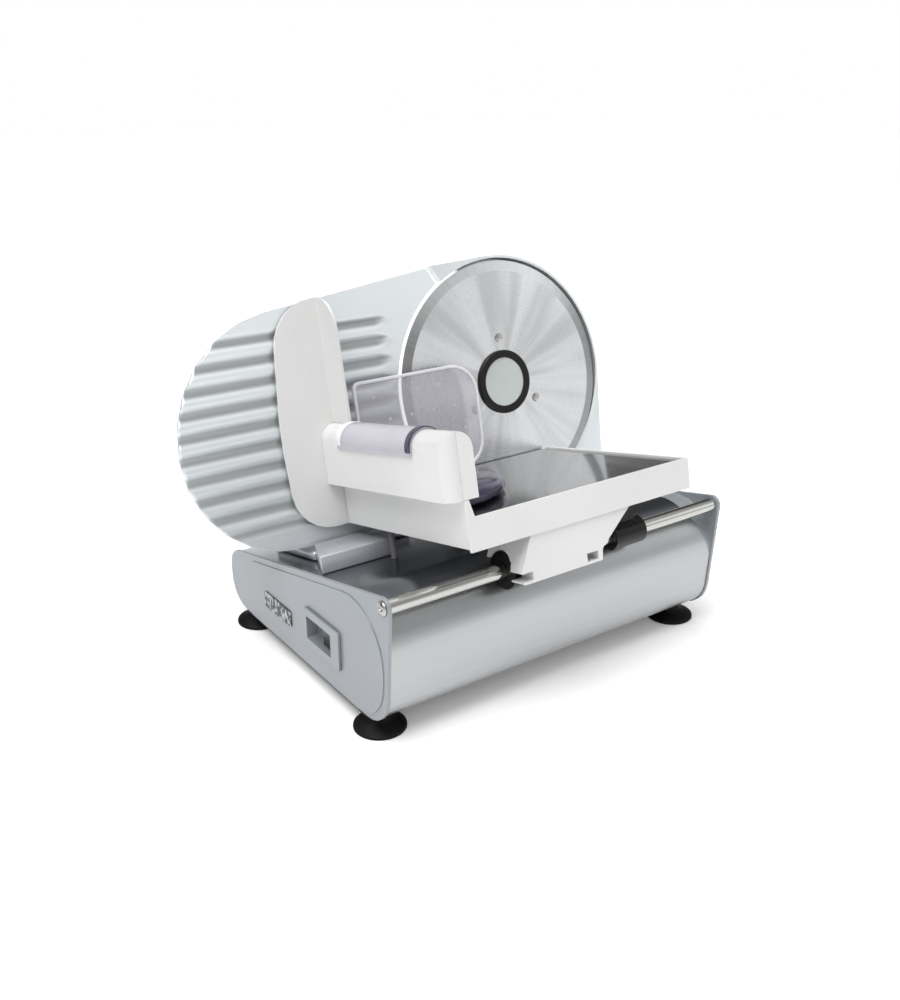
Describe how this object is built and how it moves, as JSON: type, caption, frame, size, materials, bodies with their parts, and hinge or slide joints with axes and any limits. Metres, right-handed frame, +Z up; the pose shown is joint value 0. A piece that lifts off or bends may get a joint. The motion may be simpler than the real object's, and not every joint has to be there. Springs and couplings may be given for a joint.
{
  "type": "deli meat slicer",
  "caption": "Electric food slicer with a round blade, a sliding tray with a clear food pusher, a ribbed thickness plate and a boxy steel base on suction feet.",
  "frame": {"origin": "on the surface the feet stand on, in the middle of the whole machine's box", "axes": "+X along the machine to the operator's right, +Y from the operator to the back, +Z up"},
  "size_m": [0.4482, 0.3132, 0.3289],
  "materials": {
    "brushed_wrap": "long horizontal brushing on the base wrap",
    "panel_grey": "satin mid grey end panels",
    "under_black": "matt black base plate and inlet",
    "foot_rubber": "black rubber suction feet",
    "screw_steel": "bright screws",
    "rod_chrome": "polished round rod",
    "blade_steel": "radially ground stainless blade",
    "hub_black": "black hub ring",
    "hub_disc": "pale silver disc",
    "plate_silver": "pale silver paint",
    "casting_grey": "warm light grey",
    "tray_steel": "polished stainless tray",
    "smoke_clear": "smoky clear plastic",
    "switch_black": "black switch parts",
    "badge_silver": "plain silver plate",
    "bush_black": "black slide bushes, knob and fan",
    "nylon": "off-white nylon",
    "motor_steel": "drive steel"
  },
  "bodies": {
    "base": {"base_wrap": "brushed_wrap", "left_panel": "panel_grey", "right_panel": "panel_grey", "base_cover": "under_black", "foot_front_left": "foot_rubber", "foot_front_right": "foot_rubber", "foot_back_left": "foot_rubber", "foot_back_right": "foot_rubber", "foot_screw_front_left": "screw_steel", "foot_screw_front_right": "screw_steel", "foot_screw_back_left": "screw_steel", "foot_screw_back_right": "screw_steel", "guide_rod": "rod_chrome", "rod_screw_left": "screw_steel", "rod_screw_right": "screw_steel", "switch_bezel": "panel_grey", "switch_block": "switch_black", "badge": "badge_silver", "cord_inlet": "under_black", "blade_housing": "plate_silver", "motor_cover": "plate_silver", "motor_can": "motor_steel", "blade_axle": "motor_steel", "guide_block": "plate_silver", "gauge_foot": "plate_silver", "gauge_tower": "plate_silver"},
    "blade": {"blade": "blade_steel", "blade_gear": "nylon", "blade_screw_1": "screw_steel", "blade_screw_2": "screw_steel", "blade_screw_3": "screw_steel", "hub_ring": "hub_black", "hub_cap": "hub_disc"},
    "rotor": {"motor_rotor": "motor_steel", "motor_pinion": "motor_steel", "motor_fan": "bush_black"},
    "gauge": {"thickness_plate": "plate_silver", "plate_carrier": "casting_grey"},
    "knob": {"thickness_knob": "bush_black"},
    "carriage": {"carriage_frame": "casting_grey", "tray_plate": "tray_steel", "hand_guard": "casting_grey", "food_wall": "casting_grey", "carriage_bracket": "casting_grey", "bush_left": "bush_black", "bush_right": "bush_black", "carriage_glide": "nylon"},
    "pusher": {"pusher_plate": "smoke_clear", "pusher_arm": "smoke_clear", "pusher_shelf": "smoke_clear", "pusher_sleeve": "smoke_clear"},
    "rocker": {"switch_rocker": "switch_black"}
  },
  "joints": [
    {"name": "blade_spin", "type": "hinge", "parent": "base", "child": "blade", "pos_m": [0.1049, 0.05879, 0.2126], "axis": [0, 0.9744, -0.225], "continuous": true},
    {"name": "rotor_spin", "type": "hinge", "parent": "base", "child": "rotor", "pos_m": [0.14443, 0.04819, 0.1667], "axis": [0, 0.9744, -0.225], "continuous": true},
    {"name": "carriage_slide", "type": "slide", "parent": "base", "child": "carriage", "axis": [1, 0, 0], "range_m": [-0.063, 0.085]},
    {"name": "pusher_slide", "type": "slide", "parent": "carriage", "child": "pusher", "axis": [0, 0.9744, -0.225], "range_m": [-0.11, 0]},
    {"name": "gauge_slide", "type": "slide", "parent": "base", "child": "gauge", "axis": [0, 0.9744, -0.225], "range_m": [0, 0.015]},
    {"name": "knob_turn", "type": "hinge", "parent": "base", "child": "knob", "pos_m": [-0.0651, 0.11354, 0.11899], "axis": [0, 0.9744, -0.225], "range_deg": [0, 270]},
    {"name": "rocker_tilt", "type": "hinge", "parent": "base", "child": "rocker", "pos_m": [-0.1445, -0.03366, 0.055], "axis": [0, 0, 1], "range_deg": [0, 16]}
  ],
  "couplings": [
    {"joint": "rotor_spin", "follows": "blade_spin", "ratio": -6.25},
    {"joint": "knob_turn", "follows": "gauge_slide", "rad_per_m": 314}
  ]
}
